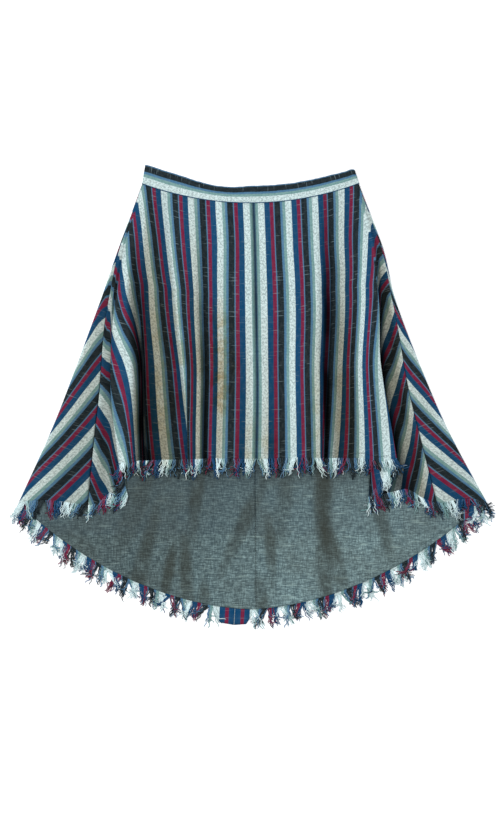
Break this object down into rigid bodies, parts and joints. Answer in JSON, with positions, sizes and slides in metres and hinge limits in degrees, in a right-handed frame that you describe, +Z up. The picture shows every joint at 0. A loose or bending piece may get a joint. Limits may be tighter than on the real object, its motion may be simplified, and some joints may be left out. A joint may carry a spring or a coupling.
{
  "type": "flared high-low skirt",
  "caption": "Flared high-low skirt of hand-woven striped cotton with a waistband, a frayed fringe hem and a slate-grey back lining, laid flat.",
  "frame": {"origin": "middle of the laid skirt's outline, on the surface that it rests on", "axes": "+X across the skirt to the right as seen from above with the waist at the far side, +Y from the hem towards the waist, +Z up from the surface it lies on"},
  "size_m": [0.8475, 0.8105, 0.0166],
  "materials": {
    "striped_cotton": "hand-woven cotton in stripes of off-white, indigo blue, crimson, charcoal and sage, matt with heathered flecks",
    "waistband_cotton": "the same cloth turned so that its stripes run round the waist, matt",
    "lining_cotton": "plain slate-grey hand-woven cotton with slubs, matt and softly creased",
    "fringe_yarn": "loose cotton yarns in the stripes' colours, matt and clumped"
  },
  "bodies": {
    "root": {"waistband_front": "waistband_cotton", "waistband_back": "waistband_cotton", "front_left": "striped_cotton", "front_right": "striped_cotton", "back_left": "striped_cotton", "back_right": "striped_cotton", "lining_left": "lining_cotton", "lining_right": "lining_cotton", "fringe_front_left": "fringe_yarn", "fringe_front_right": "fringe_yarn", "fringe_back_left": "fringe_yarn", "fringe_back_right": "fringe_yarn"}
  },
  "joints": []
}
